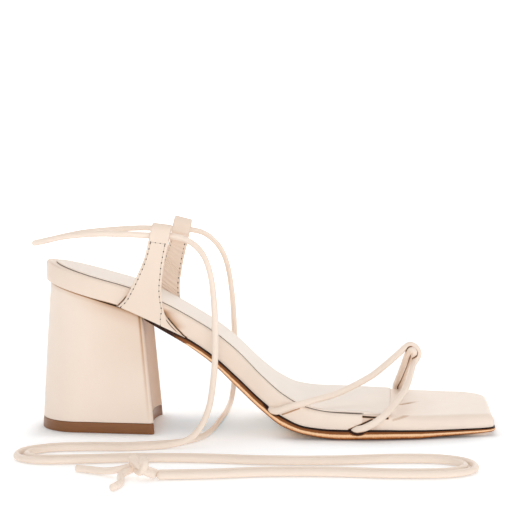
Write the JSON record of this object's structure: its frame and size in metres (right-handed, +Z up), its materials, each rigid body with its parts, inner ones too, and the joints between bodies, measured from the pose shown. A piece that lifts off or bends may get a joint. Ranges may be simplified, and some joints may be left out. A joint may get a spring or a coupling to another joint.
{
  "type": "heeled sandal",
  "caption": "Square-toed heeled sandal: a covered footbed on a flared block heel, knotted toe cords, strap ears and a long ankle tie with knotted ends.",
  "frame": {"origin": "on the floor, under the middle of the sandal's length and width, ties left out", "axes": "+X towards the toe, +Y towards the medial side, +Z up; the lateral side of this right shoe is -Y"},
  "size_m": [0.2359, 0.1762, 0.1067],
  "materials": {
    "cream_leather": "smooth satin nappa, pale cream",
    "sock_leather": "smooth matt lining leather, pale cream",
    "sole_leather": "waxed sole leather with a dark stained edge",
    "lift_rubber": "smooth brown top-lift rubber"
  },
  "bodies": {
    "root": {"footbed": "cream_leather", "insole_sock": "sock_leather", "outsole": "sole_leather", "heel_block": "cream_leather", "top_lift": "lift_rubber", "ear_lateral": "cream_leather", "ear_medial": "cream_leather", "toe_strap": "cream_leather", "tie_back_loop": "cream_leather", "tie_lateral": "cream_leather", "tie_medial": "cream_leather", "tie_knot": "cream_leather"}
  },
  "joints": []
}
